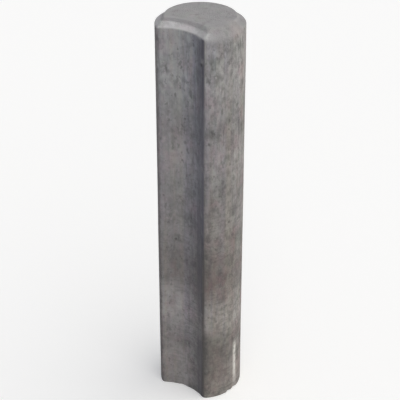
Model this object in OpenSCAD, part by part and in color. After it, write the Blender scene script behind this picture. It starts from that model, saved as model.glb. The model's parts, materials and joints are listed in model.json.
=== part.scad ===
// Round palisade kerb stone, cast in one piece in an upright mould.
// A round post has a groove down one side, and the round back of the next stone nests in it.
// The head is eased by a bevel that follows the round back, the lips and the groove alike.
// The foot lies on z = 0, the axis of the round back is the Z axis, and the groove faces -Y.

/* [Stone] */
// Height from the foot to the flat of the head
stone_h = 600; // [250:5:1200]
// Diameter of the round back
stone_d = 124; // [100:1:200]

/* [Groove] */
// Depth of the groove below the full round
groove_depth = 23.5; // [16:0.5:30]
// Open joint between the groove and the round back of the next stone
joint_gap = 5; // [2:0.5:12]
// Rounding of the two lips beside the groove
lip_r = 9; // [5:0.5:12]

/* [Head bevel] */
// Width of the gentle slope that rises from the sides
slope_w = 8.5; // [4:0.5:14]
// Rise of the gentle slope
slope_rise = 5; // [2:0.5:10]
// Width of the steeper shoulder up to the flat of the head
shoulder_w = 4; // [1:0.5:8]
// Rise of the steeper shoulder
shoulder_rise = 5.5; // [1:0.5:10]

/* [Hidden] */
$fn = 180;

// How far the cutting shapes run past the foot and the head
run_past = 10;
// How far a lip's rounding stands proud of the two sides that it joins, so that it crosses them cleanly
lip_proud = 0.1;

stone_r = stone_d / 2;
groove_r = stone_r + joint_gap;
// Distance from this stone's axis to the axis of the next one, which is also the groove's axis
pitch = stone_d + joint_gap - groove_depth;

// Head bevel as [inset from the side, height], from the side up to the flat
head_bevel = [
    [0, stone_h - slope_rise - shoulder_rise],
    [slope_w, stone_h - shoulder_rise],
    [slope_w + shoulder_w, stone_h]
];

// Centre of a lip's rounding, which all but touches the round back and the groove from inside
lip_inset = lip_r - lip_proud;
lip_reach = stone_r - lip_inset;
lip_to_groove = groove_r + lip_inset;
lip_angle = acos((pow(lip_reach, 2) + pow(pitch, 2) - pow(lip_to_groove, 2)) / (2 * lip_reach * pitch));
lip_x = lip_reach * sin(lip_angle);
lip_y = -lip_reach * cos(lip_angle);

// Directions from that centre to the two lines where the rounding meets the back and the groove
toward_back = [lip_x, lip_y] / lip_reach;
toward_groove = [-lip_x, -pitch - lip_y] / lip_to_groove;
// Reach of the trimming wedge, well past the sharp edge that it takes off
wedge_reach = 3 * lip_r;

// Full round post with its bevelled head
module round_post() {
    rotate_extrude()
        polygon(concat(
            [[0, 0], [stone_r, 0]],
            [for (p = head_bevel) [stone_r - p[0], p[1]]],
            [[0, stone_h]]
        ));
}

// Round cutter for the groove, which flares at the head by the same bevel
module groove_cutter() {
    flare_r = groove_r + slope_w + shoulder_w;
    translate([0, -pitch, 0])
        rotate_extrude()
            polygon(concat(
                [[0, -run_past], [groove_r, -run_past]],
                [for (p = head_bevel) [groove_r + p[0], p[1]]],
                [[flare_r, stone_h + run_past], [0, stone_h + run_past]]
            ));
}

// Round rod inside a lip, bevelled at the head until its radius runs out
module lip_rod() {
    translate([lip_x, lip_y, 0])
        rotate_extrude()
            polygon(concat(
                [[0, -2 * run_past], [lip_r, -2 * run_past]],
                [for (p = head_bevel) if (p[0] < lip_r) [lip_r - p[0], p[1]]],
                [[0, lookup(lip_r, head_bevel)]]
            ));
}

// What comes off the lip on the +X side: a wedge around its sharp edge, without the rod
module lip_trim() {
    difference() {
        translate([lip_x, lip_y, -run_past])
            linear_extrude(stone_h + 2 * run_past)
                polygon([
                    [0, 0],
                    wedge_reach * toward_groove,
                    wedge_reach * (toward_back + toward_groove),
                    wedge_reach * toward_back
                ]);
        lip_rod();
    }
}

// Post with its groove, while the lips are still sharp
module grooved_post() {
    difference() {
        round_post();
        groove_cutter();
    }
}

module kerb_stone() {
    color("darkgray")
        difference() {
            grooved_post();
            lip_trim();
            mirror([1, 0, 0]) lip_trim();
        }
}

kerb_stone();
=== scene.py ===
import json
import math
import random

import bmesh
import bpy
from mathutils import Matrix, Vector, kdtree, noise
from mathutils.bvhtree import BVHTree


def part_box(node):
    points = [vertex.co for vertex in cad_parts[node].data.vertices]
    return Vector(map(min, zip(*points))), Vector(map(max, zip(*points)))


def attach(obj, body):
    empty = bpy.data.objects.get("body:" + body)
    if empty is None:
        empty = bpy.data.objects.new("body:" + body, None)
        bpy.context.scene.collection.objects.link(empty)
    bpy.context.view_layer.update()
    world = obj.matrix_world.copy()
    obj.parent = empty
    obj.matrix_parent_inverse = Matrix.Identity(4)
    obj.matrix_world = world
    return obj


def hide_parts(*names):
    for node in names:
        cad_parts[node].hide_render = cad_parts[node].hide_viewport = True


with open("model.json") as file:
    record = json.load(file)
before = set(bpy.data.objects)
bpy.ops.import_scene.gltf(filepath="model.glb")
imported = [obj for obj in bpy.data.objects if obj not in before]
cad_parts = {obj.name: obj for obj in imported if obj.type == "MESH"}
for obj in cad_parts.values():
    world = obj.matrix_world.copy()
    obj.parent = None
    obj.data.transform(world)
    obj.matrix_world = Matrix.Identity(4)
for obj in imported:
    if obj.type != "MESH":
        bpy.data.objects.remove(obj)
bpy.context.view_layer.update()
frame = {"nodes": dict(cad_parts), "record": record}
print("frame loaded:", sorted(frame["nodes"]))

mounts = {m["name"]: m for m in frame["record"]["mounts"]}
mm = 0.001

# camera: where the photo was taken from, aimed close to the stone's axis
view = {
    "azimuth": math.radians(33.3),  # round from the groove's front towards +X
    "elevation": math.radians(29.58),
    "distance": 1.855,
    "aim": Vector((-0.5 * mm, -0.35 * mm, 314.2 * mm)),
    "lens": 114.94,
    "sensor": 36.0,
    "pixels": 400,
}


# unit vector towards an azimuth, round from -Y towards +X, and an elevation
def heading(azimuth, elevation):
    level = math.cos(elevation)
    return Vector((math.sin(azimuth) * level, -math.cos(azimuth) * level, math.sin(elevation)))


def makeCamera():
    camera = bpy.data.objects.new("photoCamera", bpy.data.cameras.new("photoCamera"))
    camera.data.lens = view["lens"]
    camera.data.sensor_width = view["sensor"]
    back = heading(view["azimuth"], view["elevation"])
    camera.location = view["aim"] + back * view["distance"]
    camera.rotation_euler = back.to_track_quat("Z", "Y").to_euler()
    bpy.context.scene.collection.objects.link(camera)
    bpy.context.scene.camera = camera
    bpy.context.view_layer.update()
    return camera


# ray from the camera through a pixel of the photo
def pixelRay(camera, pixel):
    across = view["sensor"] / view["lens"] / view["pixels"]
    half = view["pixels"] / 2
    local = Vector(((pixel[0] - half) * across, (half - pixel[1]) * across, -1))
    return camera.location, (camera.matrix_world.to_3x3() @ local).normalized()


camera = makeCamera()
print("camera set")

# the stone: height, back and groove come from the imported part, lips and bevel are those of its source
kerb = {
    "height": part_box("kerb_stone")[1].z,
    "backR": mounts["round_back"]["dims"]["r_mm"] * mm,
    "grooveR": mounts["groove"]["dims"]["r_mm"] * mm,
    "grooveFloor": mounts["groove"]["pos_m"][1],
    "lipR": 9 * mm,
    "lipNear": 1.5 * mm,  # how far off the rounding a point still counts as on a lip
    "sharpR": 0.4 * mm,  # lip rounding that is left where the head's bevel has used it up
    "slopeWidth": 8.5 * mm,
    "slopeRise": 5 * mm,
    "shoulderWidth": 4 * mm,
    "shoulderRise": 5.5 * mm,
    "deepestInset": 48 * mm,
    "backSteps": 92,
    "lipSteps": 10,
    "grooveSteps": 22,
    "wallRows": 286,
    "slopeRows": 6,
    "shoulderRows": 5,
    "flatRows": 16,
    "edgeRows": [0.6 * mm, 1.4 * mm, 2.6 * mm],  # closer rows beside the edges
    "mirrorGap": 0.001 * mm,
    "mergeGap": 0.15 * mm,
}
kerb["pitch"] = kerb["grooveR"] - kerb["grooveFloor"]
rimHeight = kerb["height"] - kerb["slopeRise"] - kerb["shoulderRise"]
bevelWidth = kerb["slopeWidth"] + kerb["shoulderWidth"]


# place of a lip's rounding for a section drawn in by inset: its radius, centre and bearings
def lipPlace(inset):
    radius = max(kerb["lipR"] - inset, kerb["sharpR"])
    reach = kerb["backR"] - inset - radius
    span = kerb["grooveR"] + inset + radius
    pitch = kerb["pitch"]
    bearing = math.acos((reach ** 2 + pitch ** 2 - span ** 2) / (2 * reach * pitch))
    x, y = reach * math.sin(bearing), -reach * math.cos(bearing)
    return radius, x, y, bearing, math.atan2(x, pitch + y)


# half of the section, from the middle of the back round the lip to the middle of the groove
def halfSection(bm, inset, height):
    _, lipX, lipY, bearing, grooveTurn = lipPlace(inset)
    known = set(bm.edges)
    vert = bm.verts.new((0, kerb["backR"] - inset, height))
    arcs = (
        ((0, 0, height), bearing - math.pi, kerb["backSteps"]),
        ((lipX, lipY, height), -bearing - grooveTurn, kerb["lipSteps"]),
        ((0, -kerb["pitch"], height), grooveTurn, kerb["grooveSteps"]),
    )
    for centre, angle, steps in arcs:
        spun = bmesh.ops.spin(bm, geom=[vert], cent=centre, axis=(0, 0, 1), angle=angle, steps=steps)
        vert = next(g for g in spun["geom_last"] if isinstance(g, bmesh.types.BMVert))
    return [e for e in bm.edges if e not in known]


def spaced(start, end, rows):
    return [start + (end - start) * i / rows for i in range(1, rows + 1)]


# levels of the stone from the middle of the foot, out and up the side, to the middle of the head
def stoneLevels():
    near, top = kerb["edgeRows"], kerb["height"]
    foot = [kerb["deepestInset"]] + spaced(kerb["deepestInset"], near[-1], kerb["flatRows"])
    levels = [(inset, 0) for inset in foot + near[-2::-1] + [0]]
    levels += [(0, height) for height in near] + [(0, rimHeight - step) for step in near[::-1] + [0]]
    for part in spaced(0, 1, kerb["slopeRows"]):
        levels.append((kerb["slopeWidth"] * part, rimHeight + kerb["slopeRise"] * part))
    for part in spaced(0, 1, kerb["shoulderRows"]):
        inset = kerb["slopeWidth"] + kerb["shoulderWidth"] * part
        levels.append((inset, top - kerb["shoulderRise"] * (1 - part)))
    flat = spaced(bevelWidth + near[-1], kerb["deepestInset"], kerb["flatRows"])
    return levels + [(bevelWidth + step, top) for step in near] + [(inset, top) for inset in flat]


def castStone():
    bm = bmesh.new()
    tall = kerb["height"] / 2  # only the wall is taller than this between two levels
    wall = []
    below = None
    for inset, height in stoneLevels():
        loop = halfSection(bm, inset, height)
        if below:
            made = bmesh.ops.bridge_loops(bm, edges=below[0] + loop)
            if height - below[1] > tall:
                wall = [e for e in made["edges"] if abs(e.verts[0].co.z - e.verts[1].co.z) > tall]
        else:
            first = loop
        below = loop, height
    bmesh.ops.subdivide_edges(bm, edges=wall, cuts=kerb["wallRows"], use_grid_fill=True)
    for loop in (first, below[0]):  # the innermost crescent closes on one point
        verts = list(dict.fromkeys(v for e in loop for v in e.verts))  # each once, always in the same order
        middle = (0, kerb["backR"] - kerb["deepestInset"], verts[0].co.z)
        bmesh.ops.pointmerge(bm, verts=verts, merge_co=middle)
    everything = bm.verts[:] + bm.edges[:] + bm.faces[:]
    bmesh.ops.mirror(bm, geom=everything, axis="X", merge_dist=kerb["mirrorGap"])
    bmesh.ops.remove_doubles(bm, verts=bm.verts, dist=kerb["mergeGap"])
    bmesh.ops.recalc_face_normals(bm, faces=bm.faces)
    return bm


stone = castStone()
print("stone cast:", len(stone.verts), "points,", 2 * len(stone.faces), "triangles")


def ease(low, high, value):
    part = min(max((value - low) / (high - low), 0), 1)
    return part * part * (3 - 2 * part)


# one between where it has risen and where it falls, each a pair of start and end
def window(rise, fall, value):
    return ease(*rise, value) * (1 - ease(*fall, value))


# value at a place on a line of (place, value) points
def along(points, place):
    for (start, low), (end, high) in zip(points, points[1:]):
        if place <= end:
            return low + (high - low) * ease(start, end, place)
    return points[-1][1]


# how far a point of the section lies in from the round back, and in from the groove
def depths(point):
    fromAxis = math.hypot(point.x, point.y)
    fromNext = math.hypot(point.x, point.y + kerb["pitch"])
    return kerb["backR"] - fromAxis, fromNext - kerb["grooveR"]


lipRadius, lipX, lipY, lipBearing, lipTurn = lipPlace(0)


# bearing on the nearer lip's rounding in degrees, from straight out of the groove round to the back
def lipAngle(point):
    return math.degrees(math.atan2(abs(point.x) - lipX, lipY - point.y))


def onLip(point):
    offset = math.hypot(abs(point.x) - lipX, point.y - lipY)
    within = -math.degrees(lipTurn) < lipAngle(point) < math.degrees(lipBearing)
    return within and abs(offset - lipRadius) < kerb["lipNear"]


# where a point lies on the section, with its bearings in degrees
def whereabouts(point):
    back, groove = depths(point)
    bearing = math.degrees(math.atan2(abs(point.x), -point.y))
    lip = onLip(point)
    return {
        "back": back,
        "groove": groove,
        "inset": min(back, groove),
        "lip": lip,
        "outside": lip or back < groove,  # on a lip or on the round back
        "bearing": bearing,
        "place": lipAngle(point) if lip else bearing,
        "turn": math.degrees(math.atan2(point.x, point.y + kerb["pitch"])),  # seen from the groove's axis
    }


# relief: what the mould, the handling and the weather have left on the surface
relief = {
    "swell": 0.3 * mm, "swellScale": 9,
    "drag": 0.11 * mm, "dragScale": 250, "dragStretch": 0.05,  # upright marks from lifting the mould
    "grit": 0.08 * mm, "gritScale": 380,
    "plainBelow": 0.01 * mm,  # the underside has none of these
    "grooveEdge": (-10 * mm, -1 * mm),
    "lift": 2.4 * mm, "liftSpan": (12 * mm, -28 * mm),
    "softBelow": 7 * mm, "softPast": 6 * mm, "softShare": 0.5, "softRounds": 3,
    "wornRounds": 50, "wornBearing": 69, "wornSpread": 29, "wornPast": 6 * mm,
    "footRound": 0.5 * mm, "chip": 1.1 * mm, "chipScale": 60, "chipCut": (0.1, 0.62),
    "chipReach": 1.7, "chipPush": 0.6, "chipPale": (0.6 * mm, 2.4 * mm), "breakTop": 2 * mm,
    "nick": 0.9 * mm, "nickScale": 70, "nickCut": (0.25, 0.7), "nickPale": 0.8,
    "nickOffset": Vector((3, 0, 0)), "rimHalf": 2.5 * mm, "rimInset": 3 * mm,
    "stainReach": 2,
    "pits": 130, "pitSmall": 1.5 * mm, "pitLarge": 3.6 * mm, "pitBias": 3, "pitMargin": 6 * mm,
    "pitDepth": 0.28, "pitShare": (0.5, 1), "pitStain": (0, 0.35), "seed": 11,
}
layers = {name: stone.verts.layers.float.new(name) for name in (
    "pit", "chip", "smudge", "rust", "blush", "shade", "soil", "cool", "wash",
    "head", "band", "crease", "streak")}


# one beside the groove, none round the back
def besideGroove(back, groove):
    return ease(*relief["grooveEdge"], back - groove)


# the slope stands higher towards the left lip, and the shoulder above it is lower there
def liftSlope():
    for v in stone.verts:
        back, groove = depths(v.co)
        inset = min(back, groove)
        if v.co.z > rimHeight and inset < bevelWidth:
            part = min(inset / kerb["slopeWidth"], (bevelWidth - inset) / kerb["shoulderWidth"])
            part *= ease(*relief["liftSpan"], v.co.x) * besideGroove(back, groove)
            v.co.z += relief["lift"] * part


# the rim of the head is a little rounded all along and worn soft beside the right lip
def softenHead():
    soft, worn = [], []
    for v in stone.verts:
        back, groove = depths(v.co)
        if v.co.z > rimHeight - relief["softBelow"] and min(back, groove) < bevelWidth + relief["softPast"]:
            soft.append(v)
            bearing = math.degrees(math.atan2(v.co.x, -v.co.y))
            onRight = abs(bearing - relief["wornBearing"]) < relief["wornSpread"]
            if onRight and back < groove + relief["wornPast"]:
                worn.append(v)
    axes = {"use_axis_x": True, "use_axis_y": True, "use_axis_z": True}
    for verts, rounds in ((worn, relief["wornRounds"]), (soft, relief["softRounds"])):
        for _ in range(rounds):
            bmesh.ops.smooth_vert(stone, verts=verts, factor=relief["softShare"], **axes)


# noise at a point, stretched along the stone, from -1 to 1
def noiseAt(point, scale, stretch):
    return noise.noise(Vector((point.x, point.y, point.z * stretch)) * scale)


# masks that follow the form: amounts, and spans across in metres, up in metres or round in degrees
form = {
    "fade": 3 * mm, "fadeRagged": 5 * mm, "raggedScale": 90, "fadeLeast": 1 * mm, "fadeTop": 1 * mm,
    "wallFade": 16 * mm, "wallFrom": (40, 50), "wallTo": (62, 88),
    "crestFade": 2.5 * mm, "crestFrom": (-22, -10), "crestTo": (34, 46),
    "slopeStart": (-0.5 * mm, 1.5 * mm),
    "slopeEnd": (kerb["slopeWidth"] - 1 * mm, kerb["slopeWidth"] + 1 * mm),
    "shoulderEnd": (bevelWidth - 0.5 * mm, bevelWidth + 1.5 * mm),
    "margin": 0.14, "marginEnd": (bevelWidth, bevelWidth + 14 * mm),
    "leftRub": 0.55, "leftSpan": (30 * mm, -40 * mm), "rightLoss": 0.4, "rightSpan": (5 * mm, 34 * mm),
    "creaseSpan": (12 * mm, -16 * mm), "roundCrease": 0.75, "roundSpan": (15 * mm, 40 * mm),
    "outerSpan": (2, 20), "lowSpan": (300 * mm, 210 * mm), "crestSoil": 0.6,
    "wash": 0.5, "washEnd": (-8, 10),
    "coolLeast": 0.2, "coolMiddle": 0.38, "middleSpan": (-14, 6),
    "coolRight": 0.42, "rightTurn": (8, 20), "rightRise": (230 * mm, 330 * mm), "warmRight": 0.6,
    "coolFace": 0.34, "faceRise": (300 * mm, 430 * mm), "faceEnd": (55, 78),
}
# strength by bearing of the painted shade on the two lips, where they turn away from the lamp, and on into
# the round back, where past the right lip's edge it is brown soil instead; and in the groove, of the painted
# shadow that the right lip casts
rightLip = (
    (-22, 0.72), (-8, 0.95), (-2, 0.86), (6, 0.72), (18, 0.45), (45, 0.34), (60, 0.24), (75, 0.2), (95, 0))
leftLip = ((-22, 0), (8, 0), (32, 0.7), (50, 0.6), (60, 0.25), (75, 0))
grooveSide = ((-6, 0), (4, 0.05), (10, 0.14), (17, 0.3), (22, 0.6))
# how strong the brown soil is up the right face, and the painted shade up the right lip and the groove, by
# height in mm
soilHeights = (
    (0, 0.8), (50, 1.4), (95, 1.5), (140, 0.3), (230, 0.6), (320, 0.2), (420, 0.2), (500, 0.05), (560, 0.25))
shadeHeights = (
    (0, 1.3), (90, 1.25), (125, 0.7), (165, 1.3), (240, 1.5), (290, 1.2), (340, 1), (470, 0.95), (520, 1.2),
    (590, 1.2))
# how plain the upright marks from the mould are, by height in mm
streakHeights = ((0, 0.25), (230, 0.35), (330, 0.6), (430, 1), (590, 1))


# the pale head, which runs further down the right face and the edge of the right lip
def headMask(v, at):
    fade = form["fade"] + form["fadeRagged"] * noiseAt(v.co, form["raggedScale"], 0)
    if v.co.x > 0 and at["back"] < at["groove"]:
        fade += form["wallFade"] * window(form["wallFrom"], form["wallTo"], at["bearing"])
    if v.co.x > 0 and at["outside"]:
        fade += form["crestFade"] * window(form["crestFrom"], form["crestTo"], at["place"])
    return ease(rimHeight - max(fade, form["fadeLeast"]), rimHeight + form["fadeTop"], v.co.z)


# the bevel is pale, most of all beside the groove, partly as paler concrete and partly as painted light,
# which also lifts the left slope where it faces away from the lamp and, faintly, the shoulder; yet its
# shoulder and its right side stay darker, with painted shade and dirt in the crease beside the groove
def bevelMasks(v, at, onHead):
    inset, x = at["inset"], v.co.x
    facing = besideGroove(at["back"], at["groove"])
    slope = window(form["slopeStart"], form["slopeEnd"], inset)
    margin = form["margin"] * (1 - ease(*form["marginEnd"], inset))
    side = form["leftRub"] * ease(*form["leftSpan"], x)
    paleAndLit = (side + (1 - side) * facing) * (1 - form["rightLoss"] * ease(*form["rightSpan"], x))
    v[layers["band"]] = onHead * max(slope, margin) * paleAndLit
    # painted shade and dirt in the crease of the shoulder beside the groove
    inGroove = window(form["slopeEnd"], form["shoulderEnd"], inset) * facing * ease(*form["creaseSpan"], x)
    around = (1 - ease(kerb["slopeWidth"], bevelWidth, inset)) * (1 - facing) * ease(*form["roundSpan"], x)
    v[layers["crease"]] = onHead * (inGroove + form["roundCrease"] * around)


# the edge of the right lip, which is brown lower down
def lowCrest(v, at):
    if v.co.x < 0 or not at["outside"]:
        return 0
    return window(form["crestFrom"], form["outerSpan"], at["place"]) * ease(*form["lowSpan"], v.co.z)


# painted shade along the lips where they turn away from the light, and in the groove beside the right lip;
# brown soil past the right lip's edge
def paintedShadeAndSoilMasks(v, at, onHead):
    place, up = at["place"], v.co.z / mm
    shade = 0
    if v.co.x >= 0 and at["outside"]:
        outer = ease(*form["outerSpan"], place)
        # painted shade on the right lip's rounding
        shade = along(rightLip, place) * (1 - outer) * along(shadeHeights, up)
        soil = along(rightLip, place) * outer * along(soilHeights, up)
        v[layers["soil"]] = soil * (1 - onHead) + form["crestSoil"] * lowCrest(v, at)
    elif v.co.x >= 0:
        # painted shadow of the right lip across the groove
        shade = along(grooveSide, at["turn"]) * along(shadeHeights, up)
    elif at["outside"]:
        # painted shade on the left lip and the back beyond it
        shade = along(leftLip, place)
    v[layers["shade"]] = shade * (1 - onHead)


# the groove is paler on the left and cooler towards the right lip, where the cool is the cast of its painted
# shadow, and the face beyond it is cool higher up
def coolMasks(v, at):
    if at["groove"] < at["back"]:
        nearLip = ease(*form["rightTurn"], at["turn"])
        cool = form["coolLeast"] + form["coolMiddle"] * ease(*form["middleSpan"], at["turn"])
        cool += form["coolRight"] * nearLip * ease(*form["rightRise"], v.co.z)
        warm = max(lowCrest(v, at), form["warmRight"] * nearLip * ease(*form["lowSpan"], v.co.z))
        v[layers["cool"]] = cool * (1 - warm)
        v[layers["wash"]] = form["wash"] * (1 - ease(*form["washEnd"], at["turn"]))
    elif v.co.x > 0:
        cool = form["coolFace"] * ease(*form["faceRise"], v.co.z)
        v[layers["cool"]] = cool * (1 - ease(*form["faceEnd"], at["bearing"]))


def formMasks(v, at):
    onHead = headMask(v, at)
    v[layers["head"]] = onHead
    v[layers["streak"]] = along(streakHeights, v.co.z / mm)
    bevelMasks(v, at, onHead)
    paintedShadeAndSoilMasks(v, at, onHead)
    coolMasks(v, at)


# swell, drag marks and grit of the cast surface
def castSkin(v):
    drag = relief["drag"] * noiseAt(v.co, relief["dragScale"], relief["dragStretch"])
    return v.normal * (
        relief["swell"] * noiseAt(v.co, relief["swellScale"], 1)
        + drag * v[layers["streak"]] * (1 - v[layers["head"]])
        + relief["grit"] * noiseAt(v.co, relief["gritScale"], 1)
    )


# the foot's edge is worn all along and chipped in places
def wearFoot(v, at):
    chipped = ease(*relief["chipCut"], noiseAt(v.co, relief["chipScale"], 0))
    depth = relief["chip"] * chipped + relief["footRound"]
    part = 1 - (v.co.z + max(at["inset"], 0)) / (relief["chipReach"] * depth)
    if part <= 0:
        return Vector()
    outward = Vector((v.co.x, v.co.y, 0)).normalized()
    if at["groove"] < at["back"]:
        outward = Vector((-v.co.x, -v.co.y - kerb["pitch"], 0)).normalized()
    v[layers["chip"]] = ease(*relief["chipPale"], depth) * part
    return (Vector((0, 0, 1)) - outward) * depth * relief["chipPush"] * part


# small nicks along the lips and the rim
def nickEdge(v, at):
    onRim = abs(v.co.z - rimHeight) < relief["rimHalf"] and at["inset"] < relief["rimInset"]
    if not onRim and not at["lip"]:
        return Vector()
    bite = ease(*relief["nickCut"], noiseAt(v.co + relief["nickOffset"], relief["nickScale"], 1))
    v[layers["chip"]] = max(v[layers["chip"]], relief["nickPale"] * bite)
    return v.normal * -relief["nick"] * bite


def roughen():
    stone.normal_update()
    moved = []
    for v in stone.verts:
        at = whereabouts(v.co)
        formMasks(v, at)
        skin = Vector() if v.co.z < relief["plainBelow"] else castSkin(v)
        moved.append(v.co + skin + wearFoot(v, at) + nickEdge(v, at))
    for v, place in zip(stone.verts, moved):
        v.co = place


def allPoints():
    tree = kdtree.KDTree(len(stone.verts))
    stone.verts.ensure_lookup_table()
    for v in stone.verts:
        tree.insert(v.co, v.index)
    tree.balance()
    return tree


# blow holes: shallow dents strewn by a fixed seed, and the ones the photo shows, each darkened inside as
# painted shade and dirt
def sinkPit(tree, centre, radius, depth, shadeAndStain):
    for _, index, distance in tree.find_range(centre, radius):
        v = stone.verts[index]
        part = 1 - (distance / radius) ** 2
        v[layers["pit"]] = max(v[layers["pit"]], part * shadeAndStain)
        v.co -= v.normal * depth * part


# a piece broken off the foot's edge
def breakEdge(tree, centre, radius, depth):
    for _, index, distance in tree.find_range(centre, radius):
        v = stone.verts[index]
        part = (1 - (distance / radius) ** 2) * (1 - ease(relief["breakTop"], radius, v.co.z))
        v.co += (Vector((0, 0, 1)) - Vector((v.co.x, v.co.y, 0)).normalized()) * depth * part
        v[layers["chip"]] = max(v[layers["chip"]], part)


# a soft oval mark in one layer
def stainStone(tree, layer, centre, width, height, strength):
    for place, index, _ in tree.find_range(centre, relief["stainReach"] * max(width, height)):
        v = stone.verts[index]
        off = place - centre
        part = strength * math.exp(-(off.xy.length / width) ** 2 - (off.z / height) ** 2)
        v[layer] = max(v[layer], part)


# marks that the photo shows, each by its pixel, its half width and half height in mm, and its strength
photoMarks = {
    # dark smudges; those along the left edge are painted shade
    "smudge": (
        ((161, 18), 3, 3, 0.35), ((158, 41), 3, 8, 0.5), ((165, 69), 9, 11, 0.7), ((176, 82), 10, 8, 0.5),
        ((163, 84), 5, 7, 0.6), ((168, 112), 6, 12, 0.4), ((182, 131), 9, 6, 0.8), ((173, 128), 6, 5, 0.6),
        ((212, 134), 8, 6, 0.8), ((222, 127), 6, 7, 0.5), ((209, 81), 4, 9, 0.8), ((226, 48), 10, 12, 0.6),
        ((233, 60), 6, 14, 0.5), ((222, 191), 8, 12, 0.6), ((182, 202), 7, 7, 0.6),
        ((170, 216), 9, 16, 0.5), ((190, 222), 9, 16, 0.6), ((222, 222), 8, 9, 0.5),
        ((180, 238), 7, 9, 0.6), ((208, 238), 7, 10, 0.5), ((229, 262), 5, 10, 0.4),
        ((168, 330), 8, 14, 0.4), ((171, 247), 8, 12, 0.5), ((179, 216), 8, 12, 0.35),
        ((236, 78), 4, 8, 0.4), ((234, 222), 5, 8, 0.5), ((228, 295), 5, 8, 0.4), ((233, 325), 5, 8, 0.4),
        ((159, 184), 3, 10, 0.6), ((163, 345), 3, 10, 0.5), ((213, 70), 4, 8, 0.5), ((213, 260), 5, 9, 0.4),
        ((216, 238), 5, 9, 0.4), ((206.5, 343), 4, 9, 1), ((205, 347), 5, 14, 0.9),
        ((206, 358), 6, 14, 0.9), ((205, 371), 5, 12, 0.8), ((206, 258), 6, 14, 0.7),
        ((207, 270), 6, 12, 0.7),
    ),
    "rust": (
        ((209, 286), 14, 18, 0.9), ((219, 280), 18, 26, 0.75), ((220, 262), 12, 18, 0.6),
        ((233, 238), 6, 18, 0.7), ((214, 205), 9, 14, 0.6), ((176, 268), 14, 20, 0.6),
        ((170, 300), 12, 18, 0.5), ((222, 372), 12, 14, 0.5), ((166, 372), 9, 12, 0.5),
        ((226, 140), 10, 16, 0.4),
    ),
    "wash": (
        ((212, 38), 12, 9, 0.6), ((208, 52), 5, 22, 0.4), ((215, 53), 6, 9, 0.7), ((166, 210), 9, 22, 1),
        ((172, 120), 8, 24, 1), ((208, 150), 3, 24, 0.5), ((208, 196), 3, 34, 0.5), ((197, 60), 4, 22, 0.4),
        ((220, 118), 8, 26, 0.4), ((207, 92), 3, 18, 0.5), ((228, 58), 8, 22, 0.45),
        ((216, 337), 7, 8, 0.5), ((212, 368), 6, 9, 0.4), ((176, 76), 10, 16, 0.8),
        ((172, 322), 12, 14, 0.8), ((186, 76), 14, 10, 0.6), ((208, 85), 7, 10, 0.6),
        ((174, 91), 6, 6, 0.9), ((207, 120), 4, 22, 0.6), ((217, 152), 6, 24, 0.3), ((209, 184), 5, 9, 0.4),
        ((208, 312), 9, 12, 0.7), ((209, 331), 6, 9, 0.4), ((233, 270), 6, 10, 0.5),
        ((239, 276), 5, 14, 0.6), ((232, 362), 7, 24, 0.6), ((238, 340), 5, 14, 0.6),
        ((235, 377), 6, 9, 0.9), ((190, 40), 8, 9, 0.6), ((187, 376), 14, 9, 0.8), ((223, 251), 6, 9, 0.4),
    ),
    # pale bevel: paler concrete and painted light
    "band": (((211.5, 36.5), 6.5, 9, 0.36), ((242, 27), 4, 9, 0.22), ((199, 26), 4, 4, 0.14)),
    # painted shade and dirt in a crease by the right lip
    "crease": (((205.5, 30.5), 4, 4, 0.6),),
    "blush": (((238, 30), 11, 10, 0.6), ((238.7, 33.7), 2.5, 2.5, 1), ((234, 373), 4, 9, 0.6)),
    # painted shade beside the right lip and along the left edge; the rest are darker patches
    "shade": (
        ((194, 248), 8, 24, 0.16), ((174, 240), 22, 24, 0.13), ((232, 88), 9, 24, 0.1),
        ((210, 298), 8, 16, 0.07), ((157.5, 50), 2.5, 24, 0.4), ((227, 28), 7, 5, 0.14),
        ((230, 315), 6, 14, 0.12), ((237, 92), 5, 12, 0.14), ((203.5, 338), 3, 12, 0.95),
        ((204, 352), 4, 14, 0.7), ((205, 368), 5, 10, 0.5),
    ),
}
# chips of the foot's edge and blow holes that it shows, each by its pixel, its radius and depth in mm
photoChips = (((228, 389), 6, 2.2), ((234, 385), 6, 1.4), ((164.5, 378), 4.5, 0.8))
photoPits = (
    ((201, 65.5), 3.4, 1.8), ((185, 119), 2.4, 0.8), ((209, 145), 2.6, 0.9), ((176, 239), 2.6, 0.8),
    ((229, 222), 2.4, 0.8),
)


def onStone(surface, pixel):
    start, toward = pixelRay(camera, pixel)
    return surface.ray_cast(start, toward)[0]


def markStone():
    surface = BVHTree.FromBMesh(stone)
    tree = allPoints()
    stone.normal_update()
    for name, spots in photoMarks.items():
        for pixel, width, height, strength in spots:
            stainStone(tree, layers[name], onStone(surface, pixel), width * mm, height * mm, strength)
    for pixel, radius, depth in photoPits:
        sinkPit(tree, onStone(surface, pixel), radius * mm, depth * mm, shadeAndStain=1)
    for pixel, radius, depth in photoChips:
        breakEdge(tree, onStone(surface, pixel), radius * mm, depth * mm)
    chance = random.Random(relief["seed"])
    for _ in range(relief["pits"]):
        centre = stone.verts[chance.randrange(len(stone.verts))].co.copy()
        spread = relief["pitLarge"] - relief["pitSmall"]
        radius = relief["pitSmall"] + spread * chance.random() ** relief["pitBias"]
        if relief["pitMargin"] < centre.z < rimHeight - relief["pitMargin"]:
            depth = radius * relief["pitDepth"] * chance.uniform(*relief["pitShare"])
            sinkPit(tree, centre, radius, depth, chance.uniform(*relief["pitStain"]))


liftSlope()
softenHead()
roughen()
markStone()
print("relief done")


def addNode(tree, kind, inputs, **settings):
    node = tree.nodes.new(kind)
    for name, value in settings.items():
        setattr(node, name, value)
    for key, value in inputs.items():
        if isinstance(value, bpy.types.NodeSocket):
            tree.links.new(value, node.inputs[key])
        else:
            node.inputs[key].default_value = value
    return node


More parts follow.
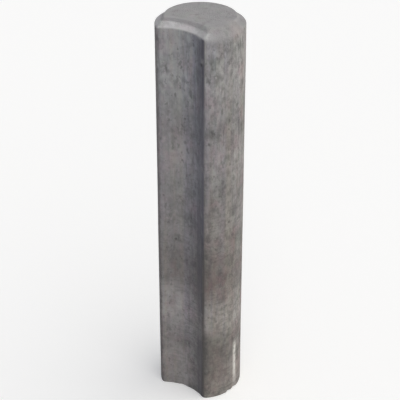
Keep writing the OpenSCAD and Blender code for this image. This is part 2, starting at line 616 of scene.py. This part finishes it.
# result of a math node, with its values in the order of its sockets
def reckon(tree, operation, *values):
    return addNode(tree, "ShaderNodeMath", dict(enumerate(values)), operation=operation).outputs[0]


def remap(tree, value, low, high, least=0.0, most=1.0, kind="LINEAR"):
    return addNode(tree, "ShaderNodeMapRange", {
        "Value": value, "From Min": low, "From Max": high, "To Min": least, "To Max": most,
    }, interpolation_type=kind).outputs["Result"]


def cloudNoise(tree, place, scale, detail):
    clouds = addNode(tree, "ShaderNodeTexNoise", {"Vector": place, "Scale": scale, "Detail": detail})
    return clouds.outputs["Fac"]


# two colours mixed by a share: 6, 7 and 2 are the node's sockets for colours
def mixColors(tree, blend, share, under, over):
    inputs = {0: share, 6: under, 7: over}
    return addNode(tree, "ShaderNodeMix", inputs, data_type="RGBA", blend_type=blend).outputs[2]


def onObject(tree):
    return addNode(tree, "ShaderNodeTexCoord", {}).outputs["Object"]


def newGroup(name, inputs, outputs):
    group = bpy.data.node_groups.new(name, "ShaderNodeTree")
    for key, kind in inputs.items():
        group.interface.new_socket(key, in_out="INPUT", socket_type="NodeSocket" + kind)
    for key, kind in outputs.items():
        group.interface.new_socket(key, in_out="OUTPUT", socket_type="NodeSocket" + kind)
    return group, group.nodes.new("NodeGroupInput").outputs, group.nodes.new("NodeGroupOutput").inputs


# noise stretched along the stone and cut to a mask
def makeNoiseMask():
    group, given, made = newGroup(
        "noiseMask",
        {"Stretch": "Vector", "Scale": "Float", "Detail": "Float", "Low": "Float", "High": "Float"},
        {"Mask": "Float"})
    stretched = addNode(
        group, "ShaderNodeVectorMath", {0: onObject(group), 1: given["Stretch"]}, operation="MULTIPLY")
    clouds = cloudNoise(group, stretched.outputs["Vector"], given["Scale"], given["Detail"])
    group.links.new(remap(group, clouds, given["Low"], given["High"], kind="SMOOTHSTEP"), made["Mask"])
    return group


# one tint laid over a colour by a mask, or a dye that the colour is multiplied by
def makeTintOver(name, blend):
    group, given, made = newGroup(
        name, {"Color": "Color", "Tint": "Color", "Mask": "Float", "Amount": "Float"}, {"Color": "Color"})
    share = reckon(group, "MULTIPLY", given["Mask"], given["Amount"])
    group.links.new(mixColors(group, blend, share, given["Color"], given["Tint"]), made["Color"])
    return group


# bands of darker and lighter tone up the stone, lightest near the top: height in mm, tone and warmth of each,
# and how they waver
bands = {
    "tones": (
        (0, 0.92, 0.05), (20, 0.94, 0.05), (50, 0.98, 0.05), (80, 0.80, 0.045), (110, 0.93, 0.04),
        (140, 1.18, 0.035), (165, 1.08, 0.035), (200, 0.74, 0.045), (232, 0.74, 0.045), (262, 0.9, 0.035),
        (300, 0.98, 0.025), (350, 0.96, 0.02), (400, 1.14, 0.015), (450, 0.94, 0.008), (500, 1.2, 0.002),
        (525, 1.28, 0), (550, 1.22, 0), (585, 1.2, 0),
    ),
    "waver": 40 * mm, "scale": 18, "detail": 3, "middle": 0.5,
}


# the bands as a tone to multiply by
def makeHeightTone():
    group, given, made = newGroup("heightTone", {"Waver": "Float"}, {"Color": "Color"})
    place = onObject(group)
    height = addNode(group, "ShaderNodeSeparateXYZ", {0: place}).outputs["Z"]
    clouds = cloudNoise(group, place, bands["scale"], bands["detail"])
    off = reckon(group, "SUBTRACT", clouds, bands["middle"])
    wavering = reckon(group, "MULTIPLY_ADD", off, given["Waver"], height)
    ramp = addNode(group, "ShaderNodeValToRGB", {"Fac": reckon(group, "DIVIDE", wavering, kerb["height"])})
    stops = ramp.color_ramp.elements
    while len(stops) > 1:
        stops.remove(stops[-1])
    for row, (up, tone, warmth) in enumerate(bands["tones"]):
        share = up / (kerb["height"] / mm)
        stop = stops.new(share) if row else stops[0]
        stop.position = share
        stop.color = (tone * (1 + warmth), tone, tone * (1 - warmth), 1)
    group.links.new(ramp.outputs["Color"], made["Color"])
    return group


# a run of lime down the +X side: where it lies, how it sways, fades and breaks up
limeRun = {
    "tint": (0.68, 0.66, 0.62), "amount": 1, "beside": -0.6 * mm, "halfWidth": 6.2 * mm, "top": 92 * mm,
    "sway": -1.2 * mm, "swayScale": 60, "swayDetail": 3, "fullShare": 0.85,
    "breakScale": 130, "breakDetail": 2, "breakCut": (0.36, 0.52), "breakLeast": 0.35,
    "footFade": (8 * mm, 34 * mm), "footLeast": 0.1,
}


# mask of the run: a narrow upright strip, broken up along its height
def makeLimeMask():
    group, given, made = newGroup(
        "limeMask", {"Beside": "Float", "Width": "Float", "Top": "Float"}, {"Mask": "Float"})
    place = onObject(group)
    axes = addNode(group, "ShaderNodeSeparateXYZ", {0: place}).outputs
    clouds = cloudNoise(group, place, limeRun["swayScale"], limeRun["swayDetail"])
    swaying = reckon(group, "MULTIPLY_ADD", clouds, limeRun["sway"], axes["Y"])
    far = reckon(group, "ABSOLUTE", reckon(group, "SUBTRACT", swaying, given["Beside"]))
    full = reckon(group, "MULTIPLY", given["Top"], limeRun["fullShare"])
    grains = cloudNoise(group, place, limeRun["breakScale"], limeRun["breakDetail"])
    mask = remap(group, far, given["Width"], 0.0, kind="SMOOTHSTEP")
    for part in (
        reckon(group, "GREATER_THAN", axes["X"], 0.0),
        remap(group, axes["Z"], given["Top"], full, kind="SMOOTHSTEP"),
        remap(group, grains, *limeRun["breakCut"], least=limeRun["breakLeast"]),
        remap(group, axes["Z"], *limeRun["footFade"], least=limeRun["footLeast"]),
    ):
        mask = reckon(group, "MULTIPLY", mask, part)
    group.links.new(mask, made["Mask"])
    return group


groups = {
    "noise": makeNoiseMask(),
    "tint": makeTintOver("tintOver", "MIX"),
    "dye": makeTintOver("dyeBy", "MULTIPLY"),
    "tone": makeHeightTone(),
    "lime": makeLimeMask(),
}

# coats of the concrete under the bands and over them, each as tint or dye, colour, amount, noise if any
# (stretch, scale, detail, low, high), the layer that it lies in, and the layer that it keeps off
underCoats = (
    ("tint", (0.3, 0.297, 0.29), 0.6, ((1, 1, 0.6), 15, 4, 0.42, 0.66), None, None),  # pale clouds
    ("tint", (0.275, 0.21, 0.225), 0.6, ((1, 1, 0.7), 34, 4, 0.46, 0.68), None, None),  # reddish clouds
    ("tint", (0.165, 0.186, 0.168), 0.5, ((1, 1.4, 0.8), 40, 4, 0.5, 0.7), None, None),  # greenish clouds
    ("tint", (0.115, 0.113, 0.113), 0.66, ((1, 1, 0.8), 62, 5, 0.5, 0.68), None, None),  # dark patches
    ("tint", (0.1, 0.098, 0.098), 0.34, ((1, 1, 0.85), 240, 3, 0.46, 0.68), None, "head"),  # fine dark specks
    ("tint", (0.12, 0.118, 0.116), 0.75, ((0.4, 0.4, 2), 150, 4, 0.5, 0.68), None, "streak"),  # level layers
    ("tint", (0.37, 0.365, 0.36), 0.38, ((1, 1, 0.7), 200, 4, 0.52, 0.7), None, "head"),  # fine pale specks
    ("tint", (0.34, 0.336, 0.33), 0.5, ((1, 1, 0.1), 210, 4, 0.5, 0.72), "streak", "head"),  # pale lines
    ("tint", (0.1, 0.099, 0.1), 0.48, ((1, 1, 0.13), 270, 4, 0.52, 0.72), "streak", "head"),  # dark lines
    ("tint", (0.11, 0.108, 0.108), 0.42, ((1, 1, 0.8), 105, 4, 0.5, 0.68), None, "head"),  # dark spots
    ("tint", (0.37, 0.366, 0.355), 0.46, ((1, 1, 0.5), 85, 4, 0.5, 0.7), None, "head"),  # pale spots
    ("tint", (0.36, 0.354, 0.366), 0.75, None, "wash", None),  # pale wash
)
overCoats = (
    ("tint", (0.362, 0.354, 0.363), 0.95, None, "head", None),  # bare head
    ("tint", (0.44, 0.432, 0.432), 0.5, ((1, 1, 1), 60, 5, 0.45, 0.68), "head", None),  # its pale clouds
    ("tint", (0.2, 0.198, 0.198), 0.3, ((1, 1, 1), 120, 4, 0.5, 0.7), "head", None),  # its dark specks
    ("tint", (0.61, 0.6, 0.615), 1, None, "band", None),  # pale bevel, partly paler concrete and partly painted light
    ("tint", (0.22, 0.217, 0.218), 0.3, ((1, 1, 1), 75, 5, 0.52, 0.7), "head", None),  # dark head patches
    ("dye", (0.84, 0.84, 0.85), 1, None, "crease", None),  # darker bevel: painted shade and dirt in the crease beside the groove, and a darker right slope
    ("tint", (0.395, 0.342, 0.328), 0.8, None, "blush", None),  # reddish spots
    ("tint", (0.2, 0.142, 0.143), 0.85, ((1, 1, 0.8), 90, 4, 0.35, 0.6), "rust", None),  # rust
    ("tint", (0.075, 0.073, 0.071), 0.45, ((1, 1, 0.7), 190, 5, 0.58, 0.7), None, "head"),  # black specks
    ("dye", (1.035, 1.02, 0.975), 1, ((1, 1, 0.03), 110, 2, 0.48, 0.62), None, "head"),  # warm streaks
    ("dye", (0.92, 0.91, 0.95), 1, ((1.1, 1, 0.03), 95, 2, 0.5, 0.64), None, "head"),  # cool streaks
    ("dye", (1.045, 0.98, 1.005), 0.6, ((1, 1.1, 0.8), 75, 3, 0.5, 0.64), None, None),  # pink tinge
    ("dye", (0.97, 1.012, 0.965), 0.6, ((1.1, 1, 0.8), 66, 3, 0.5, 0.64), None, None),  # green tinge
    ("tint", (0.1, 0.098, 0.098), 0.5, ((1, 1, 0.16), 190, 4, 0.5, 0.66), "cool", "head"),  # cool specks
    ("tint", (0.089, 0.083, 0.092), 1, None, "shade", None),  # painted shade along the lips and beside the right lip in the groove, and a few darker patches
    ("tint", (0.084, 0.076, 0.069), 1, None, "soil", None),  # brown soil
    ("tint", (0.07, 0.069, 0.067), 0.95, ((1, 1, 0.7), 210, 4, 0.34, 0.62), "smudge", None),  # smudges, and painted shade along the left edge
    ("dye", (0.93, 0.98, 1.1), 1, None, "cool", "head"),  # cool cast: of the painted shadow beside the right lip in the groove, and a cool tint elsewhere in the groove and on the upper right face
    ("tint", (0.34, 0.335, 0.325), 0.4, None, "chip", None),  # chips
    ("tint", (0.045, 0.043, 0.042), 0.9, None, "pit", None),  # blow holes, darkened as painted shade and dirt
)
# the bare concrete, and the noise of its grain, drag marks and fine holes
finish = {
    "base": (0.279, 0.269, 0.268, 1), "smooth": 0.74, "rough": 0.95,
    "grain": ((1, 1, 1), 620, 3, 0.3, 0.7),
    "drag": ((1, 1, 0.06), 320, 3, 0.35, 0.7), "dragShare": 0.5,
    "holes": ((1, 1, 0.8), 300, 2, 0.62, 0.72),
    "bump": 0.8, "bumpDepth": 0.7 * mm, "sharpAngle": math.radians(45),
}


def useGroup(tree, name, inputs):
    return addNode(tree, "ShaderNodeGroup", inputs, node_tree=groups[name]).outputs[0]


def noiseMask(tree, stretch, scale, detail, low, high):
    return useGroup(tree, "noise", {
        "Stretch": stretch, "Scale": scale, "Detail": detail, "Low": low, "High": high})


def meshMask(tree, name):
    return addNode(tree, "ShaderNodeAttribute", {}, attribute_name=name).outputs["Fac"]


def layCoat(tree, color, kind, tint, amount, mask):
    return useGroup(tree, kind, {"Color": color, "Tint": (*tint, 1), "Mask": mask, "Amount": amount})


# noise, layer and the other layer's rest, as far as a coat has them, times each other
def coatMask(tree, cut, layer, off):
    masks = []
    if cut:
        masks.append(noiseMask(tree, *cut))
    if layer:
        masks.append(meshMask(tree, layer))
    if off:
        masks.append(reckon(tree, "SUBTRACT", 1.0, meshMask(tree, off)))
    mask = masks[0]
    for other in masks[1:]:
        mask = reckon(tree, "MULTIPLY", mask, other)
    return mask


def layCoats(tree, color, coats):
    for kind, tint, amount, cut, layer, off in coats:
        color = layCoat(tree, color, kind, tint, amount, coatMask(tree, cut, layer, off))
    return color


def makeConcrete():
    material = bpy.data.materials.new("concrete")
    material.use_nodes = True
    tree = material.node_tree
    shader = tree.nodes["Principled BSDF"].inputs
    color = layCoats(tree, finish["base"], underCoats)
    tone = useGroup(tree, "tone", {"Waver": bands["waver"]})
    color = mixColors(tree, "MULTIPLY", share=1.0, under=color, over=tone)
    color = layCoats(tree, color, overCoats)
    run = useGroup(tree, "lime", {
        "Beside": limeRun["beside"], "Width": limeRun["halfWidth"], "Top": limeRun["top"]})
    color = layCoat(tree, color, "tint", limeRun["tint"], limeRun["amount"], run)
    tree.links.new(color, shader["Base Color"])
    grain, drag, holes = (noiseMask(tree, *finish[name]) for name in ("grain", "drag", "holes"))
    rough = remap(tree, drag, 0.0, 1.0, finish["smooth"], finish["rough"])
    tree.links.new(rough, shader["Roughness"])
    streak = reckon(tree, "MULTIPLY", drag, meshMask(tree, "streak"))
    height = reckon(tree, "MULTIPLY_ADD", streak, finish["dragShare"], grain)
    bump = addNode(tree, "ShaderNodeBump", {
        "Height": reckon(tree, "SUBTRACT", height, holes),
        "Strength": finish["bump"],
        "Distance": finish["bumpDepth"],
    })
    tree.links.new(bump.outputs["Normal"], shader["Normal"])
    return material


def placeStone():
    mesh = bpy.data.meshes.new("kerbStone")
    stone.to_mesh(mesh)
    stone.free()
    mesh.shade_smooth()
    mesh.set_sharp_from_angle(angle=finish["sharpAngle"])
    mesh.materials.append(makeConcrete())
    piece = bpy.data.objects.new("kerbStone", mesh)
    bpy.context.scene.collection.objects.link(piece)
    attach(piece, "root")
    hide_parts("kerb_stone")


placeStone()
print("stone placed")

# stage: one wide soft lamp from the right, a pale sky, and a white backdrop and floor
stage = {
    "bearing": math.radians(97), "rise": math.radians(38), "spread": math.radians(115),
    "strength": 2.4, "lamp": (1, 0.963, 0.885),
    "sky": (0.86, 0.905, 1, 1), "fill": 0.36,
    "white": (1, 1, 1, 1), "backdropLevel": 0.97,
    "floor": 90, "paint": (0.92, 0.92, 0.92, 1), "roughness": 0.9, "shine": 0, "glow": 0.22,
}


# one for what the camera sees straight, mirrored or through glass, and none for light on the stone
def seenRays(tree):
    path = addNode(tree, "ShaderNodeLightPath", {}).outputs
    seen = path["Is Camera Ray"]
    for ray in ("Is Glossy Ray", "Is Transmission Ray"):
        seen = reckon(tree, "MAXIMUM", seen, path[ray])
    return seen


def makeLamp():
    lamp = bpy.data.objects.new("softKey", bpy.data.lights.new("softKey", "SUN"))
    lamp.data.energy = stage["strength"]
    lamp.data.color = stage["lamp"]
    lamp.data.angle = stage["spread"]
    lamp.rotation_euler = heading(stage["bearing"], stage["rise"]).to_track_quat("Z", "Y").to_euler()
    bpy.context.scene.collection.objects.link(lamp)


def makeSky():
    world = bpy.data.worlds.new("studio")
    bpy.context.scene.world = world
    world.use_nodes = True
    tree = world.node_tree
    sky = tree.nodes["Background"]
    sky.inputs["Color"].default_value = stage["sky"]
    sky.inputs["Strength"].default_value = stage["fill"]
    backdrop = addNode(tree, "ShaderNodeBackground", {
        "Color": stage["white"], "Strength": stage["backdropLevel"]})
    both = addNode(tree, "ShaderNodeMixShader", {
        0: seenRays(tree), 1: sky.outputs[0], 2: backdrop.outputs[0]})
    tree.links.new(both.outputs[0], tree.nodes["World Output"].inputs["Surface"])


def makeFloor():
    bm = bmesh.new()
    bmesh.ops.create_grid(bm, x_segments=1, y_segments=1, size=stage["floor"] / 2)
    mesh = bpy.data.meshes.new("floor")
    bm.to_mesh(mesh)
    bm.free()
    floor = bpy.data.objects.new("floor", mesh)
    bpy.context.scene.collection.objects.link(floor)
    material = bpy.data.materials.new("paleFloor")
    material.use_nodes = True
    tree = material.node_tree
    shader = tree.nodes["Principled BSDF"].inputs
    shader["Base Color"].default_value = stage["paint"]
    shader["Roughness"].default_value = stage["roughness"]
    shader["Specular IOR Level"].default_value = stage["shine"]
    shader["Emission Color"].default_value = stage["white"]
    tree.links.new(reckon(tree, "MULTIPLY", seenRays(tree), stage["glow"]), shader["Emission Strength"])
    mesh.materials.append(material)


makeLamp()
makeSky()
makeFloor()
bpy.context.scene.view_settings.view_transform = "Standard"
print("stage set")
